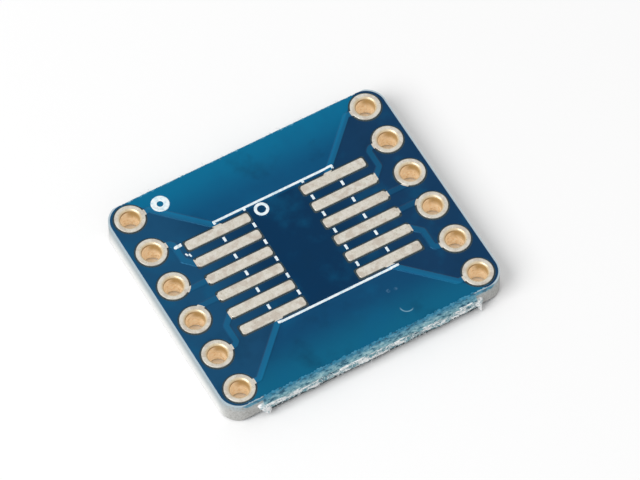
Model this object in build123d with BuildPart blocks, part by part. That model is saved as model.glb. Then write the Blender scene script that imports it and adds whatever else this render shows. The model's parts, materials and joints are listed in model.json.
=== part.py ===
from build123d import *
import math
import os

os.makedirs("parts", exist_ok=True)

# A bare adapter board. Two rows of plated through holes at breadboard spacing
# each lead to a small-outline footprint on top and a fine-pitch one underneath.
# Millimetres. +X runs across the two rows, +Y towards the end with hole 1, +Z up.
# The origin is under the middle of the board, on the plane it rests on.

# Plated through holes
hole_pitch = 2.54
row_span = 15.24
holes_per_row = 6
hole_d = 1.10
plating_t = 0.05
mouth_chamfer = 0.06
ring_w = 0.34

# Board: routed round its corners and sides, snapped from a scored panel at its two ends
edge_margin = 1.27
corner_r = 1.27
laminate_t = 1.46
web_t = 0.50
score_half_w = 0.18
break_proud = 0.08
routed_corner_len = 2.09

# Layers on each face of the laminate
foil_t = 0.05
finish_t = 0.02
mask_t = 0.03
mask_cover = 0.015
mask_side = 0.03
mask_edge_gap = 0.10
ring_gap = 0.10
ink_t = 0.02
ink_side = 0.02

# Small-outline footprint on top. Pads run along X and are spaced along Y
wide_pitch = 1.27
wide_len = 4.05
wide_w = 0.62
wide_inner_x = 1.70
wide_gap = 0.10
wide_trace_w = 0.36
wide_land_in = 2.55
lane_gap = 0.56
lane_jog = 0.19

# Fine-pitch footprint underneath
fine_pitch = 0.65
fine_len = 1.60
fine_w = 0.38
fine_inner_x = 2.00
fine_gap = 0.06
fine_trace_w = 0.25
fine_land_in = 0.705
pad_bite = 0.10

# White print on top, which sits a little off the copper, as printed boards do
line_w = 0.15
ink_gap = 0.12
ink_shift_x = 0.20
ink_shift_y = -0.01
outline_gap = 0.30
wide_body_w = 7.60
narrow_body_w = 3.76
pin_ring_d = 0.87
pin_ring_line_w = 0.18
pin_ring_in = 0.86
pin_ring_down = 0.56
hole_dot_d = 1.08
hole_dot_bore_d = 0.38
hole_dot_in = 1.80
pad_bar_len = 0.75
pad_bar_w = 0.22
pad_bar_out = 0.45

# White print underneath
under_line_w = 0.15
under_side_gap = 0.45
under_end_gap = 0.34
under_dot_d = 0.50
under_dot_in = 0.60

# Rounds of the thin artwork are plotted with this many straight sides
round_sides = 16

# Sizes that follow from those above
hole_count = 2 * holes_per_row
all_holes = range(1, hole_count + 1)
board_x = row_span + 2 * edge_margin
board_y = (holes_per_row - 1) * hole_pitch + 2 * edge_margin
drill_d = hole_d + 2 * plating_t
ring_d = hole_d + 2 * ring_w
pad_t = foil_t + finish_t
ridge_t = foil_t + mask_cover
score_depth = (laminate_t - web_t) / 2
core_bottom = pad_t
core_top = core_bottom + laminate_t
board_t = core_top + pad_t
wide_outer_x = wide_inner_x + wide_len
fine_outer_x = fine_inner_x + fine_len


def rank_y(pitch, rank):
    """Distance from the middle of a row to one of its holes or pads. Rank 0 is the outermost."""
    return ((holes_per_row - 1) / 2 - rank) * pitch


def place(number):
    """Side, end and rank of a hole: 1 to 6 run down the -X row, 7 to 12 up the +X row."""
    in_first_row = number <= holes_per_row
    step = number - 1 if in_first_row else hole_count - number
    side = -1 if in_first_row else 1
    end = 1 if step < holes_per_row / 2 else -1
    rank = min(step, holes_per_row - 1 - step)
    return side, end, rank


def in_quarter(number, points):
    """Points of the +X +Y quarter, mirrored to the quarter that holds this hole."""
    side, end, _ = place(number)
    return [(side * x, end * y) for x, y in points]


def spot(number, x, pitch):
    """The place of this hole or pad in a row of that pitch, x away from the middle."""
    _, _, rank = place(number)
    return in_quarter(number, [(x, rank_y(pitch, rank))])[0]


def hole_spot(number):
    return spot(number, row_span / 2, hole_pitch)


def wide_route(number):
    """Centre line of the top trace, from the hole to its pad."""
    _, _, rank = place(number)
    hole_x = row_span / 2
    hole_y = rank_y(hole_pitch, rank)
    pad_y = rank_y(wide_pitch, rank)
    if rank == 0:
        # Straight in, then one long diagonal that lands on the pad's long side
        land_x = wide_outer_x - wide_land_in
        points = [(hole_x, hole_y), (land_x + hole_y - pad_y, hole_y), (land_x, pad_y)]
    elif rank == 1:
        # Into a lane beside the pads, with its corners cut at 45 degrees
        lane_x = wide_outer_x + lane_gap
        points = [
            (hole_x, hole_y),
            (lane_x + lane_jog, hole_y),
            (lane_x, hole_y - lane_jog),
            (lane_x, pad_y + lane_gap),
            (wide_outer_x - pad_bite, pad_y - pad_bite),
        ]
    else:
        # Down to the pad's level at 45 degrees, then straight in
        turn_x = hole_x - hole_y + pad_y
        points = [(hole_x, hole_y), (turn_x, pad_y), (wide_outer_x - pad_bite, pad_y)]
    return in_quarter(number, points)


def fine_route(number):
    """Centre line of the bottom trace, from the hole to its pad."""
    _, _, rank = place(number)
    hole_x = row_span / 2
    hole_y = rank_y(hole_pitch, rank)
    pad_y = rank_y(fine_pitch, rank)
    if rank == 0:
        # One straight slant from the hole to a point well inside the pad
        points = [(hole_x, hole_y), (fine_outer_x - fine_land_in, pad_y)]
    else:
        # Straight in, then a diagonal that lands on the pad's outer end
        turn_x = fine_outer_x + hole_y - pad_y
        points = [(hole_x, hole_y), (turn_x, hole_y), (fine_outer_x - pad_bite, pad_y - pad_bite)]
    return in_quarter(number, points)


def draw_traces(route, width, numbers):
    for number in numbers:
        with BuildLine() as centre:
            Polyline(*route(number))
        trace(centre.line, width)


def draw_round(diameter, mode=Mode.ADD):
    RegularPolygon(diameter / 2, round_sides, mode=mode)


def draw_ring(number, gap=0):
    with Locations(hole_spot(number)):
        draw_round(ring_d + 2 * gap)


def draw_wide_pad(number, gap=0):
    with Locations(spot(number, wide_inner_x + wide_len / 2, wide_pitch)):
        Rectangle(wide_len + 2 * gap, wide_w + 2 * gap)


def draw_fine_pad(number, gap=0):
    with Locations(spot(number, fine_inner_x + fine_len / 2, fine_pitch)):
        Rectangle(fine_len + 2 * gap, fine_w + 2 * gap)


def draw_openings(draw_pad, pad_gap, round_gap):
    """Everything that a coat leaves bare on one face."""
    for number in all_holes:
        draw_pad(number, pad_gap)
        draw_ring(number, round_gap)


def draw_frame(width, height, line):
    """A rectangle's outline, drawn with a pen of that width."""
    Rectangle(width + line, height + line)
    Rectangle(width - line, height - line, mode=Mode.SUBTRACT)


def save(piece, name):
    piece.part.label = name
    export_step(piece.part, f"parts/{name}.step")


# Laminate: a routed sheet, with the broken web of the panel left along both ends
with BuildPart() as fr4_core:
    with BuildSketch(Plane.XY.offset(core_bottom)):
        RectangleRounded(board_x, board_y - 2 * break_proud, corner_r)
        Rectangle(board_x - 2 * routed_corner_len, board_y)
    extrude(amount=laminate_t)

    # The scoring blade cuts a V along each end, from above and from below
    with BuildSketch(Plane.YZ.offset(-board_x / 2)):
        for end in (-1, 1):
            for face_z, down in ((core_top, -1), (core_bottom, 1)):
                with BuildLine():
                    Polyline(
                        (end * (board_y / 2 - score_half_w), face_z),
                        (end * board_y / 2, face_z + down * score_depth),
                        (end * board_y / 2, face_z),
                        close=True,
                    )
                make_face()
    extrude(amount=board_x, mode=Mode.SUBTRACT)

    with Locations(*[(*hole_spot(number), core_top) for number in all_holes]):
        Hole(drill_d / 2)
save(fr4_core, "fr4_core")


# Copper: each net is one piece, from its top pad through the plated hole to its bottom pad
def build_conductor(number):
    x, y = hole_spot(number)
    with BuildPart() as conductor:
        with BuildSketch():
            with Locations((x, y)):
                Circle(drill_d / 2)
        extrude(amount=board_t)

        with BuildSketch(Plane.XY.offset(core_top)):
            draw_ring(number)
            draw_wide_pad(number)
        extrude(amount=pad_t)
        with BuildSketch(Plane.XY.offset(core_top)):
            draw_traces(wide_route, wide_trace_w, [number])
        extrude(amount=foil_t)

        with BuildSketch(Plane.XY.offset(core_bottom)):
            draw_ring(number)
            draw_fine_pad(number)
        extrude(amount=-pad_t)
        with BuildSketch(Plane.XY.offset(core_bottom)):
            draw_traces(fine_route, fine_trace_w, [number])
        extrude(amount=-foil_t)

        # The bore, and the eased mouth that plating leaves at each end
        with Locations((x, y, board_t)):
            Hole(hole_d / 2)
        round_edges = conductor.edges().filter_by(GeomType.CIRCLE)
        mouths = round_edges.filter_by(lambda edge: math.isclose(edge.radius, hole_d / 2))
        chamfer(mouths, length=mouth_chamfer)
    return conductor


for number in all_holes:
    save(build_conductor(number), f"conductor_{number:02d}")


# Solder mask: a thin coat that steps up over each trace and stops short of bare metal
def build_mask(face_z, out, route, trace_w, draw_pad, pad_gap):
    """out is 1 for the top face and -1 for the bottom one."""
    face = Plane.XY.offset(face_z)
    with BuildPart() as mask:
        with BuildSketch(face):
            RectangleRounded(
                board_x - 2 * mask_edge_gap,
                board_y - 2 * score_half_w,
                corner_r - mask_edge_gap,
            )
        extrude(amount=out * mask_t)
        with BuildSketch(face):
            draw_traces(route, trace_w + 2 * mask_side, all_holes)
        extrude(amount=out * ridge_t)
        with BuildSketch(face):
            draw_traces(route, trace_w, all_holes)
        extrude(amount=out * foil_t, mode=Mode.SUBTRACT)
        with BuildSketch(face):
            draw_openings(draw_pad, pad_gap, ring_gap)
        extrude(amount=out * ridge_t, mode=Mode.SUBTRACT)
    return mask


save(build_mask(core_top, 1, wide_route, wide_trace_w, draw_wide_pad, wide_gap), "top_mask")
save(build_mask(core_bottom, -1, fine_route, fine_trace_w, draw_fine_pad, fine_gap), "bottom_mask")


# Print on top: outlines of two package bodies, and marks beside the first pad and hole
last_hole_y = rank_y(hole_pitch, 0)
last_pad_edge = rank_y(wide_pitch, 0) + wide_w / 2
body_len = 2 * (last_pad_edge + outline_gap)
with BuildSketch() as top_art:
    with Locations((ink_shift_x, ink_shift_y)):
        draw_frame(wide_body_w, body_len, line_w)
        draw_frame(narrow_body_w, body_len, line_w)
        with Locations((pin_ring_in - narrow_body_w / 2, body_len / 2 - pin_ring_down)):
            draw_round(pin_ring_d)
            draw_round(pin_ring_d - 2 * pin_ring_line_w, mode=Mode.SUBTRACT)
        with Locations((hole_dot_in - row_span / 2, last_hole_y)):
            draw_round(hole_dot_d)
            draw_round(hole_dot_bore_d, mode=Mode.SUBTRACT)
        with Locations((-wide_outer_x - pad_bar_out, last_pad_edge - pad_bar_w / 2)):
            Rectangle(pad_bar_len, pad_bar_w)

# The print is clipped where it would run onto bare metal
with BuildSketch() as kept_bare:
    draw_openings(draw_wide_pad, ink_gap, ink_gap)
with BuildSketch() as top_print:
    add(top_art.sketch)
    add(kept_bare.sketch, mode=Mode.SUBTRACT)

# Where a line of it crosses a trace, the ink climbs over the ridge in the mask
with BuildSketch() as crossings:
    draw_traces(wide_route, wide_trace_w + 2 * mask_side + 2 * ink_side, all_holes)
    add(top_print.sketch, mode=Mode.INTERSECT)

with BuildPart() as top_legend:
    print_face = Plane.XY.offset(core_top + mask_t)
    with BuildSketch(print_face):
        add(top_print.sketch)
    extrude(amount=ink_t)
    with BuildSketch(print_face):
        add(crossings.sketch)
    extrude(amount=ridge_t - mask_t + ink_t)
    with BuildSketch(print_face):
        draw_traces(wide_route, wide_trace_w + 2 * mask_side, all_holes)
    extrude(amount=ridge_t - mask_t, mode=Mode.SUBTRACT)
save(top_legend, "top_legend")


# Print underneath: a body outline between the fine pads, and a dot in its first corner
under_w = 2 * (fine_inner_x - under_side_gap)
under_len = 2 * (rank_y(fine_pitch, 0) + fine_w / 2 + under_end_gap)
with BuildPart() as bottom_legend:
    with BuildSketch(Plane.XY.offset(core_bottom - mask_t)):
        draw_frame(under_w, under_len, under_line_w)
        with Locations((under_w / 2 - under_dot_in, under_len / 2 - under_dot_in)):
            draw_round(under_dot_d)
    extrude(amount=-ink_t)
save(bottom_legend, "bottom_legend")
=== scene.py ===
# %% [markdown]
# # A bare adapter board
#
# The real object is a small circuit board, 18 mm across, that brings the pads of a surface-mount
# footprint out to two rows of plated holes. It is a sandwich: a glass-epoxy laminate in the middle,
# copper on both faces and through the holes, a blue solder mask over the copper, and white print
# on top of that. The layers on the laminate are thinner than a sheet of paper, yet each one has an
# edge that catches light, so this lesson models each layer as a real solid and leaves only grain
# and tint to the materials.
#
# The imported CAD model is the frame. It gives the places and sizes, and nothing here moves it.

import json
import math
from collections import namedtuple

import bmesh
import bpy
import numpy as np
from mathutils import Matrix, Vector, noise
from mathutils.geometry import delaunay_2d_cdt


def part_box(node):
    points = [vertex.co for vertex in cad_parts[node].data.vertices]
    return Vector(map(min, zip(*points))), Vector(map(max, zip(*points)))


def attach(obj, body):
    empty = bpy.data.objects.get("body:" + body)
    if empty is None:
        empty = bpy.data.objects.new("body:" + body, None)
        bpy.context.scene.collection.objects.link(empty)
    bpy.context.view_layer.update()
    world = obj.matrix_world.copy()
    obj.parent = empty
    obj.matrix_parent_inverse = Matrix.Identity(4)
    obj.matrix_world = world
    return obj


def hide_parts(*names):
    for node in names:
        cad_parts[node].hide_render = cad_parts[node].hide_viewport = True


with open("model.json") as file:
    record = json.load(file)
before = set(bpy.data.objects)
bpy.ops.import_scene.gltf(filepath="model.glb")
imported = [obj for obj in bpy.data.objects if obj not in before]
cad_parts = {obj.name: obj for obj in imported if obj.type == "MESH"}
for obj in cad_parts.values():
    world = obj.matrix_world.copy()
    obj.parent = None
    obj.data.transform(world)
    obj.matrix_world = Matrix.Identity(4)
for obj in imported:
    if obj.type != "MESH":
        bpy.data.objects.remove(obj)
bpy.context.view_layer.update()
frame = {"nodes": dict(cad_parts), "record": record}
print("CAD nodes:", len(frame["nodes"]))

# %% [markdown]
# ## Sizes
#
# All shapes below are worked out in millimetres, as a board is drawn, and turned into metres only
# when a mesh is made. The holes come from the frame's own bore mounts, and the layer heights from
# the boxes of its nodes. What the frame can't say, such as how wide a trace is, is named here.

# %% Sizes from the frame
MM = 0.001
mounts = frame["record"]["mounts"]
hole_spots = [(m["pos_m"][0] / MM, m["pos_m"][1] / MM) for m in mounts]
bore_r = mounts[0]["dims"]["r_mm"]


def node_box(name):
    """The corners of a CAD node in millimetres."""
    low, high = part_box(name)
    return np.array(low) / MM, np.array(high) / MM


core_low, core_high = node_box("fr4_core")
_, net_high = node_box("conductor_01")
_, mask_high = node_box("top_mask")
half_x, half_y = core_high[0], core_high[1]
core_bottom, core_top = core_low[2], core_high[2]
board_t = net_high[2]
row_x = hole_spots[-1][0]
hole_pitch = hole_spots[0][1] - hole_spots[1][1]
holes_per_row = len(hole_spots) // 2
print(f"board {2 * half_x:.2f} x {2 * half_y:.2f} x {board_t:.2f} mm")
print(f"{len(hole_spots)} holes of {2 * bore_r:.2f} mm")

# %% Sizes of the artwork, in millimetres
plating_t = 0.05
ring_r = bore_r + 0.34
ring_gap = 0.10
foil_t = 0.05
mask_t = 0.022
ridge_t = 0.065
ink_t = 0.02

wide_pitch, wide_len, wide_w, wide_inner_x, wide_corner_r = 1.27, 4.05, 0.62, 1.70, 0.16
wide_gap, wide_trace_w, wide_land_in = 0.10, 0.36, 2.55
lane_gap, lane_jog = 0.56, 0.19
fine_pitch, fine_len, fine_w, fine_inner_x, fine_corner_r = 0.65, 1.60, 0.38, 2.00, 0.08
fine_gap, fine_trace_w, fine_land_in = 0.06, 0.25, 0.70
pad_bite = 0.10
wide_outer_x = wide_inner_x + wide_len
fine_outer_x = fine_inner_x + fine_len

routed_half_y, snapped_half_x, corner_r = 7.54, 6.80, 1.27
score_half_w, score_above, score_below = 0.18, 0.48, 0.24
web_low, web_high = core_bottom + score_below, core_top - score_above
web_proud = 0.10
print(f"wide pads every {wide_pitch} mm on top, fine pads every {fine_pitch} mm underneath")

# %% [markdown]
# ## Camera
#
# The photograph was taken from well above, over the front left corner, with a long lens: both
# rows of holes run almost parallel in it. The angle, distance and lens were solved from the
# centres of the eleven holes that can be seen, which are a known 2.54 mm apart. The point it looks
# at was set last, by the edges of rings, pads and mask.

# %% Camera
camera_azimuth, camera_elevation, camera_roll = -28.876, 58.039, -0.706
camera_distance, camera_lens = 320.5, 320.6
camera_target = Vector((1.208, 0.259, 0.812))


def camera_axes(azimuth, elevation, roll):
    """Right, up and backward directions of a camera that looks at the board from that angle."""
    a, e, r = (math.radians(value) for value in (azimuth, elevation, roll))
    back = Vector((math.sin(a) * math.cos(e), -math.cos(a) * math.cos(e), math.sin(e)))
    level = Vector((math.cos(a), math.sin(a), 0))
    upright = back.cross(level)
    right = math.cos(r) * level + math.sin(r) * upright
    return right, back.cross(right), back


def placed(name, data):
    """A new object in the scene."""
    thing = bpy.data.objects.new(name, data)
    bpy.context.scene.collection.objects.link(thing)
    return thing


right, upward, backward = camera_axes(camera_azimuth, camera_elevation, camera_roll)
camera = placed("camera", bpy.data.cameras.new("camera"))
turn = Matrix((right, upward, backward)).transposed().to_4x4()
camera.matrix_world = Matrix.Translation((camera_target + backward * camera_distance) * MM) @ turn
camera.data.lens = camera_lens
camera.data.clip_start, camera.data.clip_end = 0.01, 20
bpy.context.scene.camera = camera
print("camera looks from", [round(v, 3) for v in camera.location])

# %% [markdown]
# ## Helpers for materials
#
# Colours are written as sRGB hex, as a paint chart gives them, and turned to linear light by one
# function. One more function adds a node, sets its options and links its inputs. On top of it,
# painting works as with a brush: a tint is laid over the ground colour where some measures, such
# as the height or the distance from an edge, have passed from where the tint starts to where it
# is full. So a material reads as a short recipe.

# %% Colour and node helpers
def linear(hex_colour):
    """An sRGB hex colour as linear RGBA."""
    channels = [int(hex_colour[i:i + 2], 16) / 255 for i in (1, 3, 5)]
    return [c / 12.92 if c <= 0.04045 else ((c + 0.055) / 1.055) ** 2.4 for c in channels] + [1.0]


def add(tree, kind, inputs=None, **options):
    """Adds a node with its settings and links.

    An input is called by its name or its number, counting only the sockets that the node shows with
    those settings. It takes a plain value, a socket, or a node, whose first output is then used.
    """
    node = tree.nodes.new(kind)
    for name, value in options.items():
        setattr(node, name, value)
    shown = [socket for socket in node.inputs if socket.enabled]
    for key, value in (inputs or {}).items():
        socket = shown[key] if isinstance(key, int) else next(s for s in shown if s.name == key)
        if isinstance(value, bpy.types.Node):
            value = next(output for output in value.outputs if output.enabled)
        if isinstance(value, bpy.types.NodeSocket):
            tree.links.new(value, socket)
        else:
            socket.default_value = value
    return node


print("mid grey in linear light:", round(linear("#808080")[0], 3))

# %% Painting helpers
def amount_of(tree, steps, share=None):
    """A share times the product of smooth steps. A step is a measure, its start and where it is full."""
    amount = share
    for measure, start, full in steps:
        step = add(tree, "ShaderNodeMapRange", {"Value": measure, "From Min": start, "From Max": full},
                   interpolation_type="SMOOTHSTEP")
        if amount is None:
            amount = step
        else:
            amount = add(tree, "ShaderNodeMath", {0: amount, 1: step}, operation="MULTIPLY")
    return amount


def paint(tree, ground, tint, *steps, share=None):
    """The ground colour with a tint laid over it where all the steps are full."""
    ground, tint = (linear(colour) if isinstance(colour, str) else colour for colour in (ground, tint))
    amount = amount_of(tree, steps, share)
    return add(tree, "ShaderNodeMix", {"Factor": amount, "A": ground, "B": tint}, data_type="RGBA")


def new_material(name):
    """An empty node material, its tree, and the object's own coordinates in millimetres."""
    material = bpy.data.materials.new(name)
    material.use_nodes = True
    tree = material.node_tree
    tree.nodes.clear()
    place = add(tree, "ShaderNodeTexCoord").outputs["Object"]
    millimetres = add(tree, "ShaderNodeVectorMath", {0: place, "Scale": 1 / MM}, operation="SCALE")
    return material, tree, millimetres


def close_material(tree, shader):
    add(tree, "ShaderNodeOutputMaterial", {"Surface": shader})


print("helpers: amount_of, paint, new_material, close_material")

# %% [markdown]
# ## Floor, world and lamp
#
# The photograph has a plain white sweep, a large soft light from the left, and a faint shadow on
# the right. One area lamp gives that direction and the world fills the rest. The world shows
# white to the camera but lights the board at little more than half that level, so that with the
# lamp a colour renders about as it is written. Reflections have a level of their own. It is no
# brighter than the fill, which keeps the lacquer deep and lets the lamp alone draw the highlights
# along its ridges.

# %% Floor
floor_half = 3000

paper, tree, _ = new_material("Seamless_paper_matte")
ray = add(tree, "ShaderNodeLightPath")
paper_colour = add(tree, "ShaderNodeMix", {
    "Factor": ray.outputs["Is Camera Ray"], "A": linear("#dcdcdc"), "B": linear("#ffffff")}, data_type="RGBA")
close_material(tree, add(tree, "ShaderNodeBsdfDiffuse", {"Color": paper_colour}))

floor_mesh = bpy.data.meshes.new("floor")
corners = [(x * floor_half * MM, y * floor_half * MM, 0) for x, y in ((-1, -1), (1, -1), (1, 1), (-1, 1))]
floor_mesh.from_pydata(corners, [], [(0, 1, 2, 3)])
floor_mesh.materials.append(paper)
floor = placed("floor", floor_mesh)
print("floor of", paper.name)

# %% World and lamp
lamp_spot = Vector((-365, -30, 370))
lamp_size, lamp_power = 360, 1.70
fill_strength, mirror_strength = 0.60, 0.60

world = bpy.data.worlds.new("white_sweep")
world.use_nodes = True
tree = world.node_tree
tree.nodes.clear()
ray = add(tree, "ShaderNodeLightPath")
indirect = add(tree, "ShaderNodeMapRange", {
    "Value": ray.outputs["Is Glossy Ray"], "To Min": fill_strength, "To Max": mirror_strength})
strength = add(tree, "ShaderNodeMapRange", {
    "Value": ray.outputs["Is Camera Ray"], "To Min": indirect, "To Max": 1.0})
sky = add(tree, "ShaderNodeBackground", {"Color": linear("#ffffff"), "Strength": strength})
add(tree, "ShaderNodeOutputWorld", {"Surface": sky})
bpy.context.scene.world = world

lamp = placed("soft_box", bpy.data.lights.new("soft_box", "AREA"))
lamp.data.size = lamp_size * MM
lamp.data.energy = lamp_power
lamp.location = lamp_spot * MM
lamp.rotation_euler = lamp_spot.to_track_quat("Z", "Y").to_euler()
bpy.context.scene.view_settings.view_transform = "Standard"
print("one soft box, a fill of", fill_strength)

# %% [markdown]
# ## Laminate material
#
# FR4 is woven glass cloth set in epoxy. In the narrow gaps round the pads it lies in the shade of
# the lacquer and looks almost black. Where a router has cut the side it is pale, palest towards
# the table, which is painted light from the floor, and faintly striped by its plies. Round the
# corners it is painted greyer, a painted shade, and along its top edge runs a painted highlight.
# The scored slopes are smeared with blue dust from the lacquer. Where the web was snapped, bare
# glass shows white, as frayed cloth does, and its lower lip carries a painted shade.
# The mesh carries a number on each point that says how torn the surface is there.

# %% Laminate finishes
yarn_mm = 0.42
ply_mm = 0.18
# Patches to the millimetre: marks of the cutter, smears of dust, bundles of glass, and grit
cutter_per_mm, smear_per_mm, bundle_per_mm, grit_per_mm = 9.0, 4.0, 2.4, 22.0


def routed_side(tree, place, height, along):
    """Pale and striped by its plies; painted light near the table, painted shade round the corners."""
    grain = add(tree, "ShaderNodeTexNoise", {
        "Vector": place, "Scale": cutter_per_mm, "Detail": 4.0, "Roughness": 0.7})
    plies = add(tree, "ShaderNodeMath", {0: height, 1: 2 * math.pi / ply_mm}, operation="MULTIPLY")
    plies = add(tree, "ShaderNodeMath", {0: plies}, operation="SINE")
    # Painted light: paler towards the table, lit from the floor
    straight = paint(tree, "#fffefc", "#a6b3b8", (height, 0.1, 1.5))
    straight = paint(tree, straight, "#a5aca8", (plies, -1, 1), share=0.22)
    # Painted shade: greyer round the corners, with the cutter's marks over it
    turned = paint(tree, "#c4c4c1", "#aebfc6", (height, 0.9, 1.5))
    turned = paint(tree, turned, "#a9a9a5", (grain, 0.45, 0.62))
    side = paint(tree, straight, turned, (along, half_y - 1.5, half_y - 0.5))
    # Painted highlight: a paler blue band along the top edge
    return paint(tree, side, "#b4c6cf", (height, core_top - 0.07, core_top - 0.02))


def scored_slope(tree, place, height):
    """Blue dust near the coat, greyer lower down, with pale and dark blotches."""
    streak = add(tree, "ShaderNodeVectorMath", {0: place, 1: (0.65, 1.0, 1.7)}, operation="MULTIPLY")
    blotch = add(tree, "ShaderNodeTexNoise", {
        "Vector": streak, "Scale": smear_per_mm, "Detail": 4.0, "Roughness": 0.7})
    dust = paint(tree, "#7aaab6", "#1a84aa", (height, web_high, core_top))
    low_down = add(tree, "ShaderNodeMapRange", {
        "Value": height, "From Min": core_top, "From Max": web_high, "To Min": 0.15, "To Max": 0.9,
    }, interpolation_type="SMOOTHSTEP")
    dust = paint(tree, dust, "#a9cdd2", (blotch, 0.50, 0.62), share=low_down)
    return paint(tree, dust, "#1c5a74", (blotch, 0.49, 0.38))


def snapped_web(tree, place):
    """White glass with darker hollows."""
    bundle = add(tree, "ShaderNodeVectorMath", {0: place, 1: (0.7, 1.1, 2.8)}, operation="MULTIPLY")
    bundle = add(tree, "ShaderNodeTexNoise", {
        "Vector": bundle, "Scale": bundle_per_mm, "Detail": 5.0, "Roughness": 0.65})
    return paint(tree, "#6ea2ae", "#fdffff", (bundle, 0.45, 0.53))


print(f"cloth of {yarn_mm} mm yarns in plies of {ply_mm} mm")

# %% Laminate material
def laminate_material():
    material, tree, place = new_material("FR4_glass_epoxy_cut")
    height = add(tree, "ShaderNodeSeparateXYZ", {0: place}).outputs["Z"]
    torn = add(tree, "ShaderNodeAttribute", attribute_name="torn").outputs["Fac"]
    mirrored = add(tree, "ShaderNodeVectorMath", {0: place}, operation="ABSOLUTE")
    corner = (half_x - corner_r, routed_half_y - corner_r, board_t)
    outward = add(tree, "ShaderNodeVectorMath", {0: mirrored, 1: corner}, operation="SUBTRACT")
    outward = add(tree, "ShaderNodeVectorMath", {0: outward, 1: (0, 0, 0)}, operation="MAXIMUM")
    outward = add(tree, "ShaderNodeVectorMath", {0: outward}, operation="LENGTH")
    mirrored = add(tree, "ShaderNodeSeparateXYZ", {0: mirrored})
    across, along = mirrored.outputs["X"], mirrored.outputs["Y"]
    near_end = (along, half_y - 0.33, half_y - 0.27)
    off_corner = (across, snapped_half_x + 0.05, snapped_half_x - 0.15)
    sawn = routed_side(tree, place, height, along)
    scored = scored_slope(tree, place, height)
    # Broad faces: the cloth seen through the epoxy, in the shade of the gap it lies in
    cloth = add(tree, "ShaderNodeTexWave", {"Vector": place, "Scale": 1 / yarn_mm, "Distortion": 1.5})
    colour = paint(tree, "#20333c", "#2f444a", (cloth, 0.2, 0.8))
    colour = paint(tree, colour, scored, near_end)
    colour = paint(tree, colour, sawn, (outward, corner_r - 0.15, corner_r - 0.11))
    colour = paint(tree, colour, scored, near_end, off_corner)
    colour = paint(tree, colour, scored, (torn, 0.15, 0.45))
    colour = paint(tree, colour, snapped_web(tree, place), (torn, 0.60, 0.85))
    # Painted shade on the lower lip of the snapped web and just under it
    shaded_lower_lip = (height, web_low + 0.19, web_low + 0.09)
    colour = paint(tree, colour, "#2c3f46", (torn, 0.02, 0.10), shaded_lower_lip)
    grit = add(tree, "ShaderNodeTexNoise", {"Vector": place, "Scale": grit_per_mm, "Detail": 5.0})
    bump = add(tree, "ShaderNodeBump", {"Height": grit, "Strength": 0.5, "Distance": 0.03 * MM})
    shader = {"Base Color": colour, "Normal": bump, "Roughness": 0.62, "IOR": 1.52}
    close_material(tree, add(tree, "ShaderNodeBsdfPrincipled", shader))
    return material


laminate_finish = laminate_material()
print("made", laminate_finish.name)

# %% Bare glass material
strand_per_mm = 5.0


def glass_material():
    """Bare strands: glass so fine that it looks white."""
    material, tree, place = new_material("E_glass_strands_torn")
    grain = add(tree, "ShaderNodeTexNoise", {
        "Vector": place, "Scale": strand_per_mm, "Detail": 4.0, "Roughness": 0.65})
    colour = paint(tree, "#b4c6ca", "#ffffff", (grain, 0.38, 0.55))
    shader = {"Base Color": colour, "Roughness": 0.35, "IOR": 1.55}
    close_material(tree, add(tree, "ShaderNodeBsdfPrincipled", shader))
    return material


glass_finish = glass_material()
print("made", glass_finish.name)

# %% [markdown]
# ## Plated metal
#
# Pads and rings are copper under nickel and a flash of gold. The finish is so thin that it keeps
# the matt grain of the etched copper, and it looks like pale champagne, not like jewellery. It is
# set between metal and matt, with faint pinkish stains where it has aged, and it warms towards the
# bores. Down the drilled barrels the plating is duller, because it lies on drilled glass, and
# warmer still, a painted reflection of the gold walls in one another, and the walls glow a little,
# which is painted light. A dark band just under the upper knee and a darker upper half of each
# bore's right wall are painted shade. Barrel wall is what stands upright well below either face.
# The etched grain is only hundredths of a millimetre, too fine to show here, so it is drawn several
# times as coarse.

# %% Measures for the plated metal
# How brightly the barrel walls glow: painted light
barrel_glow = 0.36
shaded_side = (-0.96, -0.28, 0.0)
# Patches to the millimetre: etched grain, stains, and the fine grain that only the light shows
etch_per_mm, stain_per_mm, fine_per_mm = 6.0, 2.0, 20.0


def face_depth(tree, height):
    """How far a point lies under the nearer face of the board."""
    off_middle = add(tree, "ShaderNodeMath", {0: height, 1: board_t / 2}, operation="SUBTRACT")
    off_middle = add(tree, "ShaderNodeMath", {0: off_middle}, operation="ABSOLUTE")
    return add(tree, "ShaderNodeMath", {0: board_t / 2, 1: off_middle}, operation="SUBTRACT")


def from_hole_axis(tree, split):
    """The distance to the axis of the nearest hole, from the two rows and their pitch."""
    off_x = add(tree, "ShaderNodeMath", {0: split.outputs["X"]}, operation="ABSOLUTE")
    off_x = add(tree, "ShaderNodeMath", {0: off_x, 1: row_x}, operation="SUBTRACT")
    off_y = add(tree, "ShaderNodeMath", {0: split.outputs["Y"], 1: hole_pitch}, operation="DIVIDE")
    off_y = add(tree, "ShaderNodeMath", {0: off_y}, operation="FRACT")
    off_y = add(tree, "ShaderNodeMath", {0: off_y, 1: 0.5}, operation="SUBTRACT")
    off_y = add(tree, "ShaderNodeMath", {0: off_y, 1: hole_pitch}, operation="MULTIPLY")
    off_axis = add(tree, "ShaderNodeCombineXYZ", {"X": off_x, "Y": off_y})
    return add(tree, "ShaderNodeVectorMath", {0: off_axis}, operation="LENGTH")


print("barrel walls give back", barrel_glow)

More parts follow.
